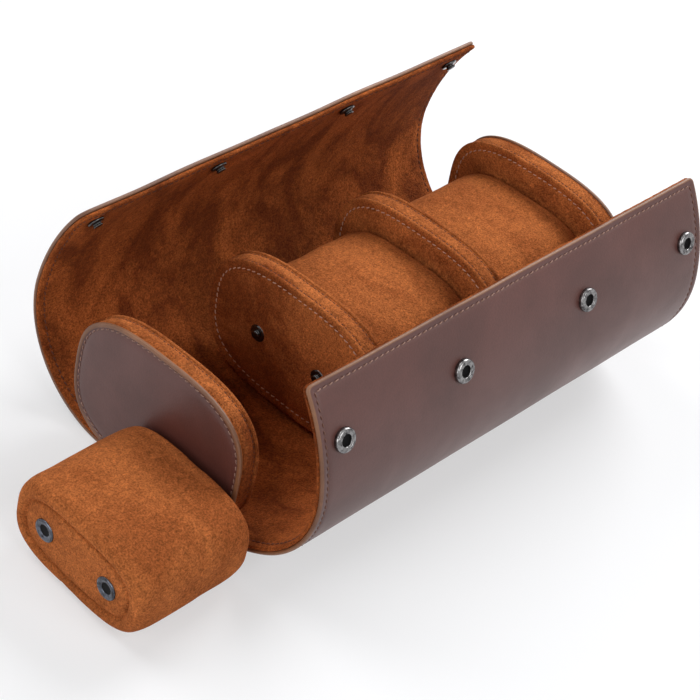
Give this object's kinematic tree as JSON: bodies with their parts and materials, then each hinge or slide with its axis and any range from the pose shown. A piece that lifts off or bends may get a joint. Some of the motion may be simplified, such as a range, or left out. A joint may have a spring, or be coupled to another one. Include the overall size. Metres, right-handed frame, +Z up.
{
  "type": "watch travel case",
  "caption": "Roll-shaped travel case with a snap-closing leather wrap, suede divider discs and removable watch pillows.",
  "frame": {"origin": "on the flat foot of the wrap, at mid length, 10 mm behind the front edge of the foot", "axes": "+X along the roll, to the right when the front flap faces you; +Y from the front flap to the lid; +Z up from the table"},
  "size_m": [0.289, 0.1579, 0.1045],
  "materials": {
    "leather": "smooth brown leather with a soft sheen",
    "suede": "tan suede with a mottled nap",
    "board": "plain stiffening board",
    "foam": "plain foam",
    "socket_metal": "gunmetal",
    "stud_metal": "blackened metal"
  },
  "bodies": {
    "wrap_base": {"base_leather": "leather", "base_board": "board", "base_lining": "suede", "divider_2_left_face": "suede", "divider_2_right_face": "suede", "divider_2_band": "suede", "divider_2_core": "foam", "divider_2_studs": "stud_metal"},
    "front_side": {"front_side_leather": "leather", "front_side_board": "board", "front_side_lining": "suede"},
    "front_upper": {"front_upper_leather": "leather", "front_upper_board": "board", "front_upper_lining": "suede"},
    "front_tip": {"front_tip_leather": "leather", "front_tip_board": "board", "front_tip_lining": "suede", "front_sockets": "socket_metal"},
    "lid_back": {"lid_back_leather": "leather", "lid_back_board": "board", "lid_back_lining": "suede"},
    "lid_top": {"lid_top_leather": "leather", "lid_top_board": "board", "lid_top_lining": "suede", "lid_studs": "stud_metal"},
    "left_end": {"left_end_outer_face": "leather", "left_end_inner_face": "suede", "left_end_band": "suede", "left_end_core": "foam"},
    "divider_1": {"divider_1_left_face": "suede", "divider_1_right_face": "suede", "divider_1_band": "suede", "divider_1_core": "foam", "divider_1_studs": "stud_metal"},
    "right_end": {"right_end_inner_face": "suede", "right_end_outer_face": "leather", "right_end_band": "suede", "right_end_core": "foam", "right_end_studs": "stud_metal"},
    "pillow_1": {"pillow_1_cover": "suede", "pillow_1_panels": "suede", "pillow_1_core": "foam", "pillow_1_sockets": "socket_metal"},
    "pillow_2": {"pillow_2_cover": "suede", "pillow_2_panels": "suede", "pillow_2_core": "foam", "pillow_2_sockets": "socket_metal"},
    "pillow_3": {"pillow_3_cover": "suede", "pillow_3_panels": "suede", "pillow_3_core": "foam", "pillow_3_sockets": "socket_metal"}
  },
  "joints": [
    {"name": "front_fold_1", "type": "hinge", "parent": "wrap_base", "child": "front_side", "pos_m": [0, -0.02328, 0.00525], "axis": [-1, 0, 0], "range_deg": [-5.8, 15.79], "stiffness_Nm_per_rad": 0.9},
    {"name": "front_fold_2", "type": "hinge", "parent": "front_side", "child": "front_upper", "pos_m": [0, -0.04684, 0.01262], "axis": [-1, 0, 0], "range_deg": [-13.1, 35.64]},
    {"name": "front_fold_3", "type": "hinge", "parent": "front_upper", "child": "front_tip", "pos_m": [0, -0.07495, 0.04065], "axis": [-1, 0, 0], "range_deg": [-7.18, 19.52]},
    {"name": "lid_fold_1", "type": "hinge", "parent": "wrap_base", "child": "lid_back", "pos_m": [0, 0.03544, 0.00456], "axis": [1, 0, 0], "range_deg": [-13, 36.5], "stiffness_Nm_per_rad": 0.9},
    {"name": "lid_fold_2", "type": "hinge", "parent": "lid_back", "child": "lid_top", "pos_m": [0, 0.0718, 0.04577], "axis": [1, 0, 0], "range_deg": [-5.03, 14.09]},
    {"name": "left_end_lean", "type": "hinge", "parent": "wrap_base", "child": "left_end", "pos_m": [-0.10848, 0, 0.0045], "axis": [0, 1, 0], "range_deg": [-3.4, 4.5]},
    {"name": "divider_1_lean", "type": "hinge", "parent": "wrap_base", "child": "divider_1", "pos_m": [-0.03923, 0, 0.0045], "axis": [0, -1, 0], "range_deg": [0, 8]},
    {"name": "right_end_lean", "type": "hinge", "parent": "wrap_base", "child": "right_end", "pos_m": [0.11242, 0, 0.0045], "axis": [0, 1, 0], "range_deg": [0, 8]},
    {"name": "pillow_1_lift", "type": "slide", "parent": "wrap_base", "child": "pillow_1", "axis": [0, 0, 1], "range_m": [0, 0.1]},
    {"name": "pillow_2_unsnap", "type": "slide", "parent": "wrap_base", "child": "pillow_2", "axis": [-1, 0, 0], "range_m": [0, 0.004]},
    {"name": "pillow_3_unsnap", "type": "slide", "parent": "right_end", "child": "pillow_3", "axis": [-1, 0, 0], "range_m": [0, 0.004]}
  ],
  "couplings": [
    {"joint": "front_fold_2", "follows": "front_fold_1", "ratio": 2.2565},
    {"joint": "front_fold_3", "follows": "front_fold_1", "ratio": 1.2356},
    {"joint": "lid_fold_2", "follows": "lid_fold_1", "ratio": 0.38575}
  ]
}
